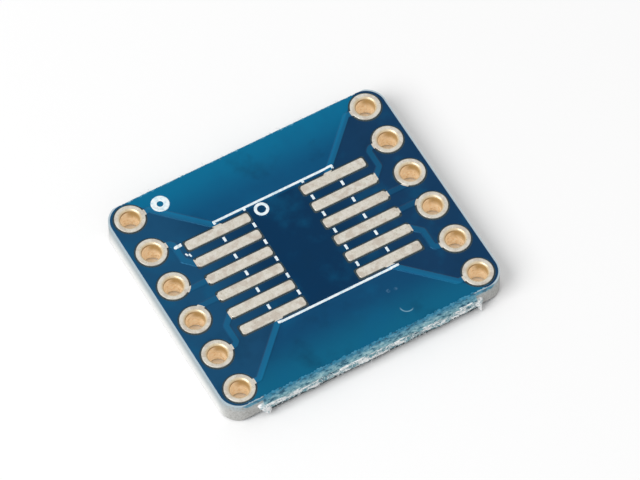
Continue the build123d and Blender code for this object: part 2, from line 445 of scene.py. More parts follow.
# %% Plated metal
def plated_material():
    material, tree, place = new_material("Copper_nickel_flash_gold")
    normal = add(tree, "ShaderNodeNewGeometry").outputs["Normal"]
    lean = add(tree, "ShaderNodeSeparateXYZ", {0: normal}).outputs["Z"]
    lean = add(tree, "ShaderNodeMath", {0: lean}, operation="ABSOLUTE")
    split = add(tree, "ShaderNodeSeparateXYZ", {0: place})
    height = split.outputs["Z"]
    facing = add(tree, "ShaderNodeVectorMath", {0: normal, 1: shaded_side}, operation="DOT_PRODUCT")
    wall = amount_of(tree, [(face_depth(tree, height), 0.07, 0.11), (lean, 0.75, 0.15)])
    grain = add(tree, "ShaderNodeTexNoise", {
        "Vector": place, "Scale": etch_per_mm, "Detail": 5.0, "Roughness": 0.65})
    stain = add(tree, "ShaderNodeTexNoise", {
        "Vector": place, "Scale": stain_per_mm, "Detail": 3.0, "Roughness": 0.6})
    fine = add(tree, "ShaderNodeTexNoise", {"Vector": place, "Scale": fine_per_mm, "Detail": 2.0})
    flat_colour = paint(tree, "#e2dccd", "#f1ece2", (grain, 0.35, 0.68))
    flat_colour = paint(tree, flat_colour, "#cdbfb0", (stain, 0.46, 0.62), share=0.60)
    knee = (from_hole_axis(tree, split), bore_r + 0.20, bore_r + 0.05)
    flat_colour = paint(tree, flat_colour, "#ead2a4", knee, share=0.7)
    wall_colour = paint(tree, "#d2b68c", "#e6d2b4", (grain, 0.35, 0.65))
    # Painted shade: a dark band just under the upper knee
    wall_colour = paint(tree, wall_colour, "#80603c", (height, board_t - 0.26, board_t - 0.14))
    # Painted shade down the upper half of each bore's right wall
    upper_half = (height, board_t - 0.95, board_t - 0.35)
    wall_colour = paint(tree, wall_colour, "#9a7d50", (facing, 0.1, 0.8), upper_half)
    bump = add(tree, "ShaderNodeBump", {"Height": fine, "Strength": 0.05, "Distance": 0.01 * MM})
    metallic = add(tree, "ShaderNodeMapRange", {
        "Value": wall, "To Min": 0.45, "To Max": 0.0}, interpolation_type="SMOOTHSTEP")
    roughness = add(tree, "ShaderNodeMapRange", {
        "Value": grain, "From Min": 0.3, "From Max": 0.7, "To Min": 0.26, "To Max": 0.40,
    }, interpolation_type="SMOOTHSTEP")
    shader = add(tree, "ShaderNodeBsdfPrincipled", {
        "Base Color": paint(tree, flat_colour, wall_colour, share=wall),
        "Metallic": metallic,
        "Roughness": roughness,
        "Normal": bump,
        # The barrel walls glow a little: painted light down the bore
        "Emission Color": wall_colour,
        "Emission Strength": add(tree, "ShaderNodeMath", {0: wall, 1: barrel_glow}, operation="MULTIPLY"),
    })
    close_material(tree, shader)
    return material


plated_finish = plated_material()
print("made", plated_finish.name)

# %% [markdown]
# ## Solder mask
#
# The mask is a photo-imaged epoxy lacquer, a glossy transparent blue. Over bare laminate it looks
# navy. In the two fields beyond the corner traces it is a shade greener and lighter, and over
# copper it is lighter still, because the metal under it throws light back. Each point of the mesh
# knows how far it stands over copper. The blue of the lacquer also tints its highlights.

# %% Tone and wear of the mask
field_edge = 3.66
# Patches to the millimetre: clouds of tone, and crazing
cloud_per_mm, craze_per_mm = 0.45, 7.0
scratch_centre, scratch_bend_r = (3.081, -6.244, 1.595), 0.423
scratch_middle = (2.860, -6.610, 1.595)
scuffs = [((2.64, -4.94, 1.595), 0.16), ((3.08, -5.02, 1.595), 0.14)]


def mask_tone(tree, place, across, along):
    """Painted shadow deep in the middle, lighter towards the ends, painted light from the left and back."""
    split = add(tree, "ShaderNodeSeparateXYZ", {0: place})
    painted_light_from_left = (split.outputs["X"], -7, 7)
    painted_light_from_back = (split.outputs["Y"], -7, 7)
    inner = add(tree, "ShaderNodeMath", {0: across, 1: field_edge}, operation="MAXIMUM")
    past_traces = add(tree, "ShaderNodeMath", {0: along, 1: inner}, operation="SUBTRACT")
    cloud = add(tree, "ShaderNodeTexNoise", {
        "Vector": place, "Scale": cloud_per_mm, "Detail": 4.0, "Roughness": 0.55})
    # Painted light from the left, fading towards the right
    side = paint(tree, "#154468", "#0e2e52", painted_light_from_left)
    # Painted shadow, darkest in the middle
    navy = paint(tree, "#002449", side, (across, 1.4, 6.4))
    # Painted light, lighter towards the back
    sea_in = paint(tree, "#083e65", "#064b74", painted_light_from_back)
    sea_out = paint(tree, "#085c7d", "#00688f", painted_light_from_back)
    sea = paint(tree, sea_in, sea_out, (along, 4.4, 7.3))
    tone = paint(tree, navy, sea, (past_traces, -0.10, 0.10), (split.outputs["Z"], 0.5, 1.0))
    tone = paint(tree, tone, "#045880", (cloud, 0.50, 0.80), share=0.5)
    return paint(tree, tone, "#041f3c", (cloud, 0.50, 0.20), share=0.5)


def mask_wear(tree, place, along, colour):
    """Crazing along the two snapped ends, one curved scratch and two scuffs near the front end."""
    crazing = add(tree, "ShaderNodeTexNoise", {
        "Vector": place, "Scale": craze_per_mm, "Detail": 5.0, "Roughness": 0.7})
    end_rim = (along, half_y - 0.22, half_y - 0.08)
    colour = paint(tree, colour, "#4f93b0", end_rim, (crazing, 0.46, 0.60), share=0.22)
    bend = add(tree, "ShaderNodeVectorMath", {0: place, 1: scratch_centre}, operation="DISTANCE")
    off_line = add(tree, "ShaderNodeMath", {0: bend, 1: scratch_bend_r}, operation="SUBTRACT")
    off_line = add(tree, "ShaderNodeMath", {0: off_line}, operation="ABSOLUTE")
    off_middle = add(tree, "ShaderNodeVectorMath", {0: place, 1: scratch_middle}, operation="DISTANCE")
    colour = paint(tree, colour, "#9cc6d8", (off_line, 0.05, 0.01), (off_middle, 0.50, 0.30), share=0.55)
    for spot, spot_r in scuffs:
        near = add(tree, "ShaderNodeVectorMath", {0: place, 1: spot}, operation="DISTANCE")
        colour = paint(tree, colour, "#6f95b4", (near, spot_r, spot_r / 2), (crazing, 0.42, 0.55),
                       share=0.28)
    return colour


print("one scratch and", len(scuffs), "scuffs")

# %% Solder mask
def mask_material():
    material, tree, place = new_material("Solder_mask_blue_photoimaged")
    mirrored = add(tree, "ShaderNodeVectorMath", {0: place}, operation="ABSOLUTE")
    mirrored = add(tree, "ShaderNodeSeparateXYZ", {0: mirrored})
    across, along = mirrored.outputs["X"], mirrored.outputs["Y"]
    over_copper = add(tree, "ShaderNodeAttribute", attribute_name="over_copper").outputs["Fac"]
    over_copper = add(tree, "ShaderNodeMath", {0: over_copper, 1: 0.55}, operation="MULTIPLY")
    colour = mask_tone(tree, place, across, along)
    colour = paint(tree, colour, "#1a7ba8", share=over_copper)
    colour = mask_wear(tree, place, along, colour)
    cloth = add(tree, "ShaderNodeTexWave", {"Vector": place, "Scale": 1 / yarn_mm, "Distortion": 1.0})
    bump = add(tree, "ShaderNodeBump", {"Height": cloth, "Strength": 0.12, "Distance": 0.004 * MM})
    shader = add(tree, "ShaderNodeBsdfPrincipled", {
        "Base Color": colour,
        "Roughness": 0.24,
        "IOR": 1.50,
        "Specular IOR Level": 0.8,
        "Specular Tint": linear("#5ab4e4"),
        "Normal": bump,
    })
    close_material(tree, shader)
    return material


mask_finish = mask_material()
print("made", mask_finish.name)

# %% [markdown]
# ## White print
#
# The print is a screen-printed epoxy ink. It is matt and chalky, and a little of the blue shows
# through where the screen laid it thin.

# %% White print
thin_spots_per_mm = 5.0


def ink_material():
    material, tree, place = new_material("Legend_ink_screen_printed")
    thin = add(tree, "ShaderNodeTexNoise", {
        "Vector": place, "Scale": thin_spots_per_mm, "Detail": 4.0})
    colour = paint(tree, "#f3fafc", "#cbe4ef", (thin, 0.40, 0.68))
    shader = {"Base Color": colour, "Roughness": 0.55, "IOR": 1.5}
    close_material(tree, add(tree, "ShaderNodeBsdfPrincipled", shader))
    return material


ink_finish = ink_material()
print("made", ink_finish.name)

# %% [markdown]
# ## Helpers for meshes
#
# A finished piece's object sits at the origin, and its place is in its mesh. One function makes
# such an object from points in millimetres, merges its doubles, turns its faces outwards and
# smooths what isn't a real corner.

# %% Mesh helpers
crease_angle = math.radians(38)
merge_distance = 1e-8


def tidy_mesh(mesh):
    """Merges doubles, turns the faces of closed shells outwards and smooths gentle angles."""
    work = bmesh.new()
    work.from_mesh(mesh)
    bmesh.ops.remove_doubles(work, verts=work.verts, dist=merge_distance)
    bmesh.ops.recalc_face_normals(work, faces=work.faces)
    open_edges = sum(1 for edge in work.edges if len(edge.link_faces) != 2)
    work.to_mesh(mesh)
    work.free()
    mesh.shade_smooth()
    mesh.set_sharp_from_angle(angle=crease_angle)
    if open_edges:
        print(f"{mesh.name}: {open_edges} edges don't join two faces")


def metre_mesh(name, points, edges, faces):
    """A mesh in metres from points in millimetres."""
    mesh = bpy.data.meshes.new(name)
    mesh.from_pydata([tuple(p) for p in np.asarray(points) * MM], edges, faces)
    return mesh


def mesh_piece(name, points, faces, material, numbers=None):
    """An object from points in millimetres. numbers holds a list for each named point attribute."""
    mesh = metre_mesh(name, points, [], faces)
    for title, values in (numbers or {}).items():
        mesh.attributes.new(title, "FLOAT", "POINT").data.foreach_set("value", values)
    mesh.materials.append(material)
    tidy_mesh(mesh)
    return placed(name, mesh)


def fit(piece, nodes):
    """Ties a piece to the frame: what it rides on, and the nodes it stands for, which are hidden."""
    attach(piece, "root")
    if nodes:
        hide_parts(*nodes)
    triangles = sum(len(face.vertices) - 2 for face in piece.data.polygons)
    print(f"{piece.name}: {triangles} triangles")


net_nodes = [f"conductor_{number:02d}" for number in range(1, len(hole_spots) + 1)]
print("the metal stands for", len(net_nodes), "nets")

# %% [markdown]
# ## Where the traces run
#
# The artwork is the same in its four quarters, so each route is drawn once for the quarter at +X
# +Y and mirrored. The corner hole's trace runs in and then slants to its pad, the second one
# drops through a lane beside the pads, and the third one is a short slant. Underneath, the corner
# trace is one long slant, and the two others run in and then slant. Plotted copper has no sharp
# corners: each bend is given a small arc.

# %% Routes
bend_r, bend_steps = 0.16, 5
ring_overlap = 0.15


def rank_y(pitch, rank):
    return ((holes_per_row - 1) / 2 - rank) * pitch


def wide_quarter_route(rank):
    hole_y, pad_y = rank_y(hole_pitch, rank), rank_y(wide_pitch, rank)
    if rank == 0:
        land_x = wide_outer_x - wide_land_in
        return [(row_x, hole_y), (land_x + hole_y - pad_y, hole_y), (land_x, pad_y)]
    if rank == 1:
        lane_x = wide_outer_x + lane_gap
        return [(row_x, hole_y), (lane_x + lane_jog, hole_y), (lane_x, hole_y - lane_jog),
                (lane_x, pad_y + lane_gap), (wide_outer_x - pad_bite, pad_y - pad_bite)]
    return [(row_x, hole_y), (row_x - hole_y + pad_y, pad_y), (wide_outer_x - pad_bite, pad_y)]


def fine_quarter_route(rank):
    hole_y, pad_y = rank_y(hole_pitch, rank), rank_y(fine_pitch, rank)
    if rank == 0:
        return [(row_x, hole_y), (fine_outer_x - fine_land_in, pad_y)]
    return [(row_x, hole_y), (fine_outer_x + hole_y - pad_y, hole_y),
            (fine_outer_x - pad_bite, pad_y - pad_bite)]


def with_arcs(points, radius, steps):
    """The polyline with each inner corner replaced by an arc."""
    points = [Vector(p) for p in points]
    path = [points[0]]
    for before, corner, after in zip(points, points[1:], points[2:]):
        into, out = (corner - before).normalized(), (after - corner).normalized()
        turn = into.angle(out)
        trim = min(radius * math.tan(turn / 2), (corner - before).length / 2, (after - corner).length / 2)
        start, end = corner - into * trim, corner + out * trim
        for step in range(steps + 1):
            t = step / steps
            path.append((1 - t) ** 2 * start + 2 * t * (1 - t) * corner + t ** 2 * end)
    path.append(points[-1])
    return np.array([tuple(p) for p in path])


def all_routes(quarter_route):
    """The twelve routes of one face, mirrored from the three of a quarter."""
    quarters = [(1, 1), (-1, 1), (1, -1), (-1, -1)]
    return [with_arcs(quarter_route(rank), bend_r, bend_steps) * quarter
            for rank in range(holes_per_row // 2) for quarter in quarters]


def from_the_ring(route):
    """The route without the stretch that would cross the bore."""
    first, second = route[0], route[1]
    start = first + (second - first) / np.hypot(*(second - first)) * (bore_r + ring_overlap)
    return np.vstack([start, route[1:]])


wide_routes = all_routes(wide_quarter_route)
fine_routes = all_routes(fine_quarter_route)
print(len(wide_routes), "routes on top,", len(fine_routes), "underneath")

# %% [markdown]
# ## Flat shapes with a distance
#
# Mask, print and openings are all made of three flat shapes: a disc, a rounded box and a stroke
# with round ends. Each shape can say two things. Its gap is how far a point lies outside it, less
# than nothing inside. Its loop is its outline, grown or shrunk by any amount. With the gap a layer
# knows how near its own edge each point is, so that the edge can be rounded off, and with the
# loops it gets points exactly where the rounding bends.

# %% Flat shapes
Shape = namedtuple("Shape", "gap loop")


def disc(x, y, radius, sides=64):
    turns = np.linspace(0, 2 * math.pi, sides, endpoint=False)
    circle = np.stack([np.cos(turns), np.sin(turns)], axis=1)
    return Shape(lambda p: np.hypot(p[:, 0] - x, p[:, 1] - y) - radius,
                 lambda grow: circle * (radius + grow) + (x, y))


def box(x, y, width, height, corner_r, steps=6):
    half = np.array([width / 2, height / 2])

    def gap(p):
        q = np.abs(p - (x, y)) - (half - corner_r)
        outside = np.hypot(np.maximum(q[:, 0], 0), np.maximum(q[:, 1], 0))
        return outside + np.minimum(np.max(q, axis=1), 0) - corner_r

    def loop(grow):
        radius = max(corner_r + grow, 1e-4)
        points = []
        for quarter, (sx, sy) in enumerate(((1, 1), (-1, 1), (-1, -1), (1, -1))):
            centre = np.array([x, y]) + (half + grow - radius) * (sx, sy)
            for angle in np.linspace(0, math.pi / 2, steps + 1) + quarter * math.pi / 2:
                points.append(centre + radius * np.array([math.cos(angle), math.sin(angle)]))
        return np.array(points)

    return Shape(gap, loop)


def line_distance(p, route):
    """How far each point lies from a polyline."""
    best = np.full(len(p), np.inf)
    for a, b in zip(route[:-1], route[1:]):
        run = b - a
        t = np.clip(((p - a) @ run) / (run @ run), 0, 1)
        best = np.minimum(best, np.hypot(*(p - a - t[:, None] * run).T))
    return best


def stroke(route, width, cap_steps=8):
    runs = np.diff(route, axis=0)
    runs = runs / np.hypot(*runs.T)[:, None]
    tangents = np.vstack([runs[:1], runs[:-1] + runs[1:], runs[-1:]])
    tangents = tangents / np.hypot(*tangents.T)[:, None]
    sides = np.stack([-tangents[:, 1], tangents[:, 0]], axis=1)

    def loop(grow):
        reach = width / 2 + grow
        caps = []
        for end, start_angle in ((-1, math.atan2(*sides[-1][::-1])), (0, math.atan2(*-sides[0][::-1]))):
            angles = start_angle - np.linspace(0, math.pi, cap_steps + 1)[1:-1]
            caps.append(route[end] + reach * np.stack([np.cos(angles), np.sin(angles)], axis=1))
        return np.vstack([route + reach * sides, caps[0], (route - reach * sides)[::-1], caps[1]])

    return Shape(lambda p: line_distance(p, route) - width / 2, loop)


def nearest_gap(p, shapes):
    """The gap to the nearest of several shapes."""
    return np.min([shape.gap(p) for shape in shapes], axis=0)


print("shapes: disc, box, stroke")

# %% [markdown]
# ## One printed layer
#
# A layer is a union of shapes with openings cut from it. Its outlines, each with a few copies set
# back by fractions of the edge rounding, are handed to a constrained triangulation, and the
# triangles that lie inside are kept. Then every point is lifted: the underside lies on what is
# below, and the top stands one thickness above it, rounded off towards the edge. The same
# function makes both masks and both prints. A layer of the lower face is made the same way and
# turned over at the end.

# %% Layer maker
edge_steps = (0.0, 0.12, 0.4, 1.0)
edge_rise = 0.45
WHOLE_HULL, INSIDE_ONLY = 0, 1


def filled(loops, extent, slack):
    """Points and triangles of the figure that closed loops draw, or of the whole hull round it."""
    points, edges = [], []
    for loop in loops:
        first = len(points)
        points += [Vector(p) for p in loop]
        edges += [(first + i, first + (i + 1) % len(loop)) for i in range(len(loop))]
    flat, _, triangles, _, _, _ = delaunay_2d_cdt(points, edges, [], extent, slack)
    return np.array([tuple(p) for p in flat]), np.array([tuple(t) for t in triangles])


def layer(name, shapes, openings, below, thickness, edge_r, creases, material,
          turned_over=False, numbers=None):
    """below and thickness are functions of points. creases are more loops that need points."""
    loops = [shape.loop(-edge_r * step) for shape in shapes for step in edge_steps]
    loops += [shape.loop(edge_r * step) for shape in openings for step in edge_steps]
    flat, triangles = filled(loops + creases, WHOLE_HULL, 1e-5)

    def depth(p):
        inside = -nearest_gap(p, shapes)
        return np.minimum(inside, nearest_gap(p, openings)) if openings else inside

    triangles = triangles[depth(flat[triangles].mean(axis=1)) > 0]
    used, triangles = np.unique(triangles, return_inverse=True)
    flat, triangles = flat[used], triangles.reshape(-1, 3)
    near = np.clip(depth(flat) / edge_r, 0, 1)
    rounding = edge_rise + (1 - edge_rise) * np.sqrt(1 - (1 - near) ** 2)
    floor_z = below(flat)
    top_z = floor_z + thickness(flat) * rounding
    if turned_over:
        floor_z, top_z = board_t - floor_z, board_t - top_z
    count = len(flat)
    solid = np.vstack([np.column_stack([flat, top_z]), np.column_stack([flat, floor_z])])
    faces = [tuple(t) for t in triangles] + [tuple(t[::-1] + count) for t in triangles]
    sides = {(a, b) for t in triangles for a, b in zip(t, np.roll(t, -1))}
    faces += [(b, a, a + count, b + count) for a, b in sides if (b, a) not in sides]
    numbers = {title: np.tile(value(flat), 2) for title, value in (numbers or {}).items()}
    return mesh_piece(name, solid, faces, material, numbers)


print("an edge is rounded in", len(edge_steps) - 1, "steps")

# %% [markdown]
# ## Mask
#
# A lacquer poured over etched copper flows off the tracks: it is thinner on top of them, and
# steps up and down in soft shoulders. So the height of the mask is a function of the distance to
# the nearest trace centre line, with no slope at either end of the step. Along the two snapped
# ends the scoring blade has nicked the coat in small scallops, which are discs cut from it.

# %% Shapes for the mask
shoulder, copper_shoulder, copper_beside = 0.08, 0.03, 0.04
inner_share = 0.35
nick_spacing, nick_low_r, nick_high_r, nick_margin = 0.17, 0.03, 0.13, 1.2


def smooth_step(value, low, high):
    t = np.clip((value - low) / (high - low), 0, 1)
    return t * t * (3 - 2 * t)


def trace_rise(routes, width, spread):
    """One over the copper of any trace, falling to nothing a little beside it."""
    def rise(p):
        distance = np.min([line_distance(p, route) for route in routes], axis=0)
        start = width / 2 - inner_share * spread
        return 1 - smooth_step(distance, start, start + spread)
    return rise


def pad_boxes(pitch, length, width, inner_x, grow, corner_r):
    across, size = inner_x + length / 2, (length + 2 * grow, width + 2 * grow)
    return [box(side * across, rank_y(pitch, rank), *size, corner_r)
            for side in (-1, 1) for rank in range(holes_per_row)]


def ring_discs(grow):
    return [disc(x, y, ring_r + grow) for x, y in hole_spots]


def edge_nicks(seed):
    """Small discs along both snapped ends, where the blade has lifted the coat."""
    random = np.random.default_rng(seed)
    nicks = []
    for end in (-1, 1):
        x = nick_margin - mask_high[0]
        while x < mask_high[0] - nick_margin:
            radius = random.uniform(nick_low_r, nick_high_r)
            set_back = random.uniform(0.0, 0.6) * radius
            nicks.append(disc(x, end * (mask_high[1] + set_back), radius, sides=14))
            x += random.uniform(0.6, 1.4) * nick_spacing
    return nicks


print(len(edge_nicks(0)), "nicks along the two ends")

# %% Mask
mask_corner_r, mask_edge_r = 1.17, 0.03
crease_offsets = (-0.10, -0.06, -0.035, -0.015, 0.005, 0.025, 0.045, 0.07, 0.10)
rank_tints = 0.85, 0.55, 0.30
tint_inset, tint_shoulder = 0.06, 0.08


def mask_layer(name, routes, trace_w, pad_openings, seed, turned_over):
    outline = box(0, 0, 2 * mask_high[0], 2 * mask_high[1], mask_corner_r, steps=20)
    openings = ring_discs(ring_gap) + pad_openings + edge_nicks(seed)
    copper = trace_rise(routes, trace_w + copper_beside, copper_shoulder)
    lacquer = trace_rise(routes, trace_w, shoulder)
    creases = [stroke(route, trace_w).loop(offset) for route in routes for offset in crease_offsets]

    def tint(p):
        """The long corner traces show through the mask most, the short ones inside less."""
        ranks = [trace_rise(routes[first:first + 4], trace_w - tint_inset, tint_shoulder)(p)
                 for first in range(0, len(routes), 4)]
        return np.max([rise * share for rise, share in zip(ranks, rank_tints)], axis=0)

    return layer(
        name, [outline], openings,
        below=lambda p: core_top + foil_t * copper(p),
        thickness=lambda p: mask_t + (ridge_t - mask_t) * lacquer(p) - foil_t * copper(p),
        edge_r=mask_edge_r, creases=creases, material=mask_finish, turned_over=turned_over,
        numbers={"over_copper": tint},
    )


wide_openings = pad_boxes(wide_pitch, wide_len, wide_w, wide_inner_x, wide_gap, wide_corner_r)
fine_openings = pad_boxes(fine_pitch, fine_len, fine_w, fine_inner_x, fine_gap, fine_corner_r)
top_mask = mask_layer("top_mask_coat", wide_routes, wide_trace_w, wide_openings, 5, False)
bottom_mask = mask_layer("bottom_mask_coat", fine_routes, fine_trace_w, fine_openings, 9, True)
fit(top_mask, ["top_mask"])
fit(bottom_mask, ["bottom_mask"])

# %% [markdown]
# ## Print
#
# The white print is the outline of a wide and a narrow body, a small ring inside them, a donut by
# the first hole and a short bar beside the first pad. It is clipped where it would run onto metal,
# so the long sides of the bodies are left as dashes between the pads. It is laid with the same
# layer maker, on top of the mask, and climbs its ridges. Underneath there is only the outline of
# the small body and a dot.

# %% Print on top
pad_ink_gap, ink_gap, ink_corner_r = 0.16, 0.12, 0.06
line_w, ink_edge_r, ink_sink = 0.15, 0.03, 0.002
pin_ring_r, pin_ring_hole_r = 0.435, 0.255
hole_dot_r, hole_dot_hole_r = 0.54, 0.19
pad_bar_w, fleck_w = 0.21, 0.10
ridge_offsets = (-0.03, 0.0, 0.03, 0.06)
ink_shift = np.array([0.16, 0.05])
past_pads = 0.30
pin_ring_in, hole_dot_in, pad_bar_out = (0.86, 0.56), 1.80, (0.45, 0.11)
body_half_y = rank_y(wide_pitch, 0) + wide_w / 2 + past_pads
wide_body_half_x, narrow_body_half_x = 3.80, 1.88


def frame_lines(half_width, half_height, width, shift):
    """The four lines of a rectangle, drawn with a round pen."""
    x0, y0 = shift - (half_width, half_height)
    x1, y1 = shift + (half_width, half_height)
    corners = [(x0, y0), (x1, y0), (x1, y1), (x0, y1), (x0, y0)]
    return [stroke(np.array([a, b]), width) for a, b in zip(corners, corners[1:])]


art = frame_lines(wide_body_half_x, body_half_y, line_w, ink_shift)
art += frame_lines(narrow_body_half_x, body_half_y, line_w, ink_shift)
pin_ring = ink_shift + (pin_ring_in[0] - narrow_body_half_x, body_half_y - pin_ring_in[1])
hole_dot = ink_shift + (hole_dot_in - row_x, rank_y(hole_pitch, 0))
pad_bar = ink_shift + (-wide_outer_x - pad_bar_out[0], rank_y(wide_pitch, 0) + wide_w / 2 - pad_bar_out[1])
art += [disc(*pin_ring, pin_ring_r), disc(*hole_dot, hole_dot_r)]
art += [stroke(np.array([pad_bar - (0.27, 0.04), pad_bar + (0.27, 0.03)]), pad_bar_w)]
# Two stray flecks of ink below the bar
flecks = [[(-6.00, 2.76), (-5.95, 2.64)], [(-5.83, 2.64), (-5.80, 2.50)]]
art += [stroke(np.array(fleck), fleck_w) for fleck in flecks]
bare = pad_boxes(wide_pitch, wide_len, wide_w, wide_inner_x, pad_ink_gap, ink_corner_r)
bare += ring_discs(ink_gap) + [disc(*pin_ring, pin_ring_hole_r), disc(*hole_dot, hole_dot_hole_r)]
lacquer_top = trace_rise(wide_routes, wide_trace_w, shoulder)
ridge_loops = [stroke(route, wide_trace_w).loop(offset) for route in wide_routes for offset in ridge_offsets]
top_print = layer(
    "top_print", art, bare,
    below=lambda p: core_top + mask_t + (ridge_t - mask_t) * lacquer_top(p) - ink_sink,
    thickness=lambda p: np.full(len(p), ink_t), edge_r=ink_edge_r, creases=ridge_loops,
    material=ink_finish,
)
fit(top_print, ["top_legend"])

# %% Print underneath
under_half_x = fine_inner_x - 0.45
under_half_y = rank_y(fine_pitch, 0) + fine_w / 2 + 0.34
under_dot_in, under_dot_r = 0.60, 0.25

under_art = frame_lines(under_half_x, under_half_y, line_w, np.zeros(2))
under_art += [disc(under_half_x - under_dot_in, under_half_y - under_dot_in, under_dot_r)]
bottom_print = layer(
    "bottom_print", under_art, [],
    below=lambda p: np.full(len(p), core_top + mask_t - ink_sink),
    thickness=lambda p: np.full(len(p), ink_t), edge_r=ink_edge_r, creases=[],
    material=ink_finish, turned_over=True,
)
fit(bottom_print, ["bottom_legend"])

# %% [markdown]
# ## Geometry Nodes helpers
#
# What repeats or follows a path is made by Geometry Nodes: the plated holes on their grid, the
# pads on theirs, the traces along their routes and the torn fibres on the snapped ends. Each tree
# is built here with named inputs. A modifier's inputs are set by their identifiers before the
# object is first evaluated, and the result is turned into a plain mesh.

# %% Geometry Nodes helpers
SOCKETS = {float: "NodeSocketFloat", int: "NodeSocketInt", bpy.types.Material: "NodeSocketMaterial"}


def new_tree(name, inputs):
    """A geometry tree with a geometry input and one named input for each entry."""
    tree = bpy.data.node_groups.new(name, "GeometryNodeTree")
    tree.interface.new_socket("Geometry", in_out="INPUT", socket_type="NodeSocketGeometry")
    for title, kind in inputs.items():
        tree.interface.new_socket(title, in_out="INPUT", socket_type=SOCKETS[kind])
    tree.interface.new_socket("Geometry", in_out="OUTPUT", socket_type="NodeSocketGeometry")
    return tree, add(tree, "NodeGroupInput").outputs


def close_tree(tree, geometry, material):
    """Every tree ends in real geometry with its material."""
    real = add(tree, "GeometryNodeRealizeInstances", {"Geometry": geometry})
    painted = add(tree, "GeometryNodeSetMaterial", {"Geometry": real, "Material": material})
    add(tree, "NodeGroupOutput", {0: painted})


def grown(name, source, tree, values):
    """Runs a tree on source data and keeps the result as a plain mesh object."""
    seed_object = placed(name + "_source", source)
    modifier = seed_object.modifiers.new("grow", "NODES")
    modifier.node_group = tree
    names = {item.name: item.identifier for item in tree.interface.items_tree if item.in_out == "INPUT"}
    for title, value in values.items():
        modifier[names[title]] = value
    evaluated = seed_object.evaluated_get(bpy.context.evaluated_depsgraph_get())
    mesh = bpy.data.meshes.new_from_object(evaluated)
    bpy.data.objects.remove(seed_object)
    mesh.name = name
    tidy_mesh(mesh)
    return placed(name, mesh)


print("a tree's inputs can be", ", ".join(kind.__name__ for kind in SOCKETS))

# %% [markdown]
# ## Plated holes
#
# A plated hole is one turned form: the barrel, a flange on each face, and a rounded knee where
# the plating turns the corner into the bore. Its section is drawn once, swept round a circle, and
# set on every point of a grid of two columns. A sweep is the plain way to turn a section, and the
# grid takes its size from the same pitch as the CAD.

# %% Section of a plated hole
knee_r, rim_r, hole_sides = 0.17, 0.025, 72


def arc_points(centre, radius, start, end, steps):
    angles = np.radians(np.linspace(start, end, steps + 1))
    return [(centre[0] + radius * math.cos(a), centre[1] + radius * math.sin(a)) for a in angles]


def hole_section():
    """The section in (distance from the bore wall, height), upper half first, then its mirror."""
    flange = ring_r - bore_r
    upper = arc_points((knee_r, board_t - knee_r), knee_r, 180, 90, 8)
    upper += arc_points((flange - rim_r, board_t - rim_r), rim_r, 90, 0, 4)
    upper += [(flange, core_top), (plating_t, core_top)]
    lower = [(x, board_t - z) for x, z in upper[::-1]]
    return upper + lower


print("a section of", len(hole_section()), "points")

# %% Plated holes
hole_tree, given = new_tree("turned_on_a_grid", {
    "Bore radius": float, "Sides": int, "Row distance": float, "Row length": float, "Holes in a row": int,
    "Material": bpy.types.Material,
})
section = add(hole_tree, "GeometryNodeMeshToCurve", {"Mesh": given["Geometry"]})
circle = add(hole_tree, "GeometryNodeCurvePrimitiveCircle", {
    "Resolution": given["Sides"], "Radius": given["Bore radius"]})
turned = add(hole_tree, "GeometryNodeCurveToMesh", {"Curve": circle, "Profile Curve": section})
grid = add(hole_tree, "GeometryNodeMeshGrid", {
    "Size X": given["Row distance"], "Size Y": given["Row length"], "Vertices X": 2,
    "Vertices Y": given["Holes in a row"]})
holes = add(hole_tree, "GeometryNodeInstanceOnPoints", {"Points": grid, "Instance": turned})
close_tree(hole_tree, holes, given["Material"])

# A swept section has its second axis pointing down
section_points = [(x, -z, 0) for x, z in hole_section()]
section_edges = [(i - 1, i) for i in range(1, len(section_points))] + [(len(section_points) - 1, 0)]
section_mesh = metre_mesh("hole_section", section_points, section_edges, [])
plated_holes = grown("plated_holes", section_mesh, hole_tree, {
    "Bore radius": bore_r * MM, "Sides": hole_sides, "Row distance": 2 * row_x * MM,
    "Row length": hole_pitch * (holes_per_row - 1) * MM, "Holes in a row": holes_per_row,
    "Material": plated_finish,
})
fit(plated_holes, net_nodes)

# %% [markdown]
# ## Pads
#
# A pad is an etched island of copper with a little plating on it: upright sides, a rounded
# shoulder, and a top that is crowned by a hair. One pad is lofted from rounded rectangles, and a
# tree repeats it on a grid. The fine pads underneath use the same two steps.

# %% One pad
pad_levels = (
    (0.0, 0.0), (0.004, 0.55), (0.010, 0.78), (0.022, 0.91), (0.040, 0.965), (0.075, 0.985), (0.14, 1.0))


def lofted(loops):
    """A closed solid through loops of equally many points, from the bottom one to the top one."""
    count = len(loops[0])
    points = np.vstack(loops)
    faces = [tuple(range(count))[::-1], tuple(range(len(points) - count, len(points)))]
    for level in range(len(loops) - 1):
        for i in range(count):
            j = (i + 1) % count
            low, high = level * count, (level + 1) * count
            faces.append((low + i, low + j, high + j, high + i))
    return points, faces


def pad_solid(name, length, width, corner_r, bottom_z, top_z):
    """A rounded block. Each level is a pair: how far it is set in, and its height above the base."""
    rise = top_z - bottom_z
    shape = box(0, 0, length, width, corner_r, steps=6)
    loops = []
    for inset, share in pad_levels:
        flat = shape.loop(-inset)
        loops.append(np.column_stack([flat, np.full(len(flat), bottom_z + rise * share)]))
    points, faces = lofted(loops)
    return metre_mesh(name, points, [], faces)


wide_pad = pad_solid("wide_pad", wide_len, wide_w, wide_corner_r, core_top, board_t)
fine_pad = pad_solid("fine_pad", fine_len, fine_w, fine_corner_r, core_bottom, 0.0)
print("a pad has", len(wide_pad.vertices), "points")

